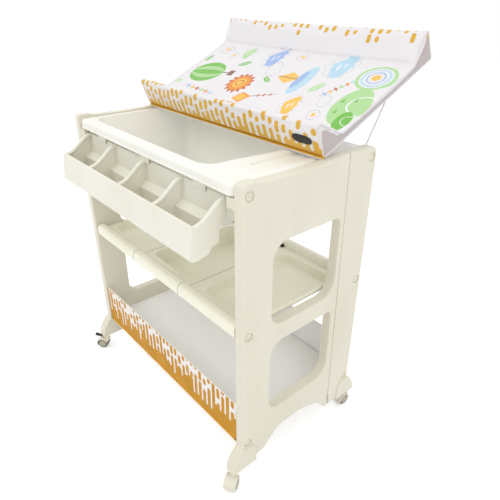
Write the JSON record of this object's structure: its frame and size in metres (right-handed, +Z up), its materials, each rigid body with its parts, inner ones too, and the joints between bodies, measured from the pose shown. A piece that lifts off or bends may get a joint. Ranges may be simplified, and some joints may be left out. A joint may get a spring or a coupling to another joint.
{
  "type": "changing table",
  "caption": "Wheeled baby changing table: bath tub and organiser tray between moulded ends, dished shelf, cloth basket, and a bolstered pad propped on a wire stay.",
  "frame": {"origin": "on the floor under the middle of the table's overall box", "axes": "+X runs along the table's length to the user's right, +Y from front to back, +Z up"},
  "size_m": [0.8452, 0.7386, 1.1394],
  "materials": {
    "ivory_plastic": "satin moulded ivory plastic",
    "steel_tube": "ivory powder coat",
    "steel_wire": "off-white powder coat",
    "steel_fixings": "zinc plated",
    "board": "cover-wrapped fibreboard",
    "pad_cover": "wipe-clean printed cover over foam",
    "basket_cloth": "printed coated cloth over a stiffener",
    "black_plastic": "moulded",
    "wheel_plastic": "dark olive-grey moulded",
    "plug_rubber": "soft moulded"
  },
  "bodies": {
    "frame": {"end_panel_right": "ivory_plastic", "end_panel_left": "ivory_plastic", "top_tube_front": "steel_tube", "top_tube_rear": "steel_tube", "shelf_tube_front": "steel_tube", "shelf_tube_rear": "steel_tube", "basket_tube_front": "steel_tube", "basket_tube_rear": "steel_tube", "tube_end_plugs": "ivory_plastic", "panel_screws": "steel_fixings", "bath_tub": "ivory_plastic", "organiser_tray": "ivory_plastic", "tray_bracket_left": "ivory_plastic", "tray_bracket_right": "ivory_plastic", "shelf_tray_middle": "ivory_plastic", "shelf_tray_left": "ivory_plastic", "shelf_tray_right": "ivory_plastic", "shelf_clips": "black_plastic", "basket_floor": "basket_cloth", "basket_panel_front": "basket_cloth", "basket_panel_rear": "basket_cloth", "foot_front_left": "ivory_plastic", "foot_front_right": "ivory_plastic", "foot_rear_left": "ivory_plastic", "foot_rear_right": "ivory_plastic"},
    "stay": {"wire_stay": "steel_wire"},
    "pad": {"pad_board": "board", "pad_mat": "pad_cover", "pad_bolster_front": "pad_cover", "pad_bolster_rear": "pad_cover", "stay_clips": "ivory_plastic"},
    "plug": {"drain_plug": "plug_rubber"},
    "caster_front_left": {"caster_hood_front_left": "ivory_plastic", "caster_stem_front_left": "steel_fixings", "brake_pin_front_left": "steel_fixings"},
    "wheels_front_left": {"caster_axle_front_left": "steel_fixings", "caster_wheel_a_front_left": "wheel_plastic", "caster_wheel_b_front_left": "wheel_plastic"},
    "brake_front_left": {"brake_pedal_front_left": "black_plastic"},
    "caster_front_right": {"caster_hood_front_right": "ivory_plastic", "caster_stem_front_right": "steel_fixings"},
    "wheels_front_right": {"caster_axle_front_right": "steel_fixings", "caster_wheel_a_front_right": "wheel_plastic", "caster_wheel_b_front_right": "wheel_plastic"},
    "caster_rear_left": {"caster_hood_rear_left": "ivory_plastic", "caster_stem_rear_left": "steel_fixings", "brake_pin_rear_left": "steel_fixings"},
    "wheels_rear_left": {"caster_axle_rear_left": "steel_fixings", "caster_wheel_a_rear_left": "wheel_plastic", "caster_wheel_b_rear_left": "wheel_plastic"},
    "brake_rear_left": {"brake_pedal_rear_left": "black_plastic"},
    "caster_rear_right": {"caster_hood_rear_right": "ivory_plastic", "caster_stem_rear_right": "steel_fixings"},
    "wheels_rear_right": {"caster_axle_rear_right": "steel_fixings", "caster_wheel_a_rear_right": "wheel_plastic", "caster_wheel_b_rear_right": "wheel_plastic"}
  },
  "joints": [
    {"name": "stay_swing", "type": "hinge", "parent": "frame", "child": "stay", "pos_m": [0, 0.13718, 0.857], "axis": [1, 0, 0], "range_deg": [0, 111.77]},
    {"name": "pad_tilt", "type": "hinge", "parent": "stay", "child": "pad", "pos_m": [0, 0.21538, 0.98944], "axis": [1, 0, 0], "range_deg": [-137.17, 0]},
    {"name": "plug_lift", "type": "slide", "parent": "frame", "child": "plug", "axis": [0, 0, 1], "range_m": [0, 0.03]},
    {"name": "swivel_front_left", "type": "hinge", "parent": "frame", "child": "caster_front_left", "pos_m": [-0.386, -0.30282, 0.056], "axis": [0, 0, 1], "continuous": true},
    {"name": "roll_front_left", "type": "hinge", "parent": "caster_front_left", "child": "wheels_front_left", "pos_m": [-0.39749, -0.31246, 0.0185], "axis": [0.6428, -0.766, 0], "continuous": true},
    {"name": "brake_press_front_left", "type": "hinge", "parent": "caster_front_left", "child": "brake_front_left", "pos_m": [-0.39826, -0.3131, 0.0454], "axis": [0.6428, -0.766, 0], "range_deg": [0, 16]},
    {"name": "swivel_front_right", "type": "hinge", "parent": "frame", "child": "caster_front_right", "pos_m": [0.386, -0.30282, 0.056], "axis": [0, 0, 1], "continuous": true},
    {"name": "roll_front_right", "type": "hinge", "parent": "caster_front_right", "child": "wheels_front_right", "pos_m": [0.3935, -0.31581, 0.0185], "axis": [0.866, 0.5, 0], "continuous": true},
    {"name": "swivel_rear_left", "type": "hinge", "parent": "frame", "child": "caster_rear_left", "pos_m": [-0.386, 0.17718, 0.056], "axis": [0, 0, 1], "continuous": true},
    {"name": "roll_rear_left", "type": "hinge", "parent": "caster_rear_left", "child": "wheels_rear_left", "pos_m": [-0.38237, 0.16263, 0.0185], "axis": [0.9703, 0.2419, 0], "continuous": true},
    {"name": "brake_press_rear_left", "type": "hinge", "parent": "caster_rear_left", "child": "brake_rear_left", "pos_m": [-0.38213, 0.16166, 0.0454], "axis": [0.9703, 0.2419, 0], "range_deg": [0, 16]},
    {"name": "swivel_rear_right", "type": "hinge", "parent": "frame", "child": "caster_rear_right", "pos_m": [0.386, 0.17718, 0.056], "axis": [0, 0, 1], "continuous": true},
    {"name": "roll_rear_right", "type": "hinge", "parent": "caster_rear_right", "child": "wheels_rear_right", "pos_m": [0.38443, 0.16226, 0.0185], "axis": [0.9945, -0.1045, 0], "continuous": true}
  ],
  "couplings": [
    {"joint": "pad_tilt", "follows": "stay_swing", "ratio": -1.2255}
  ]
}
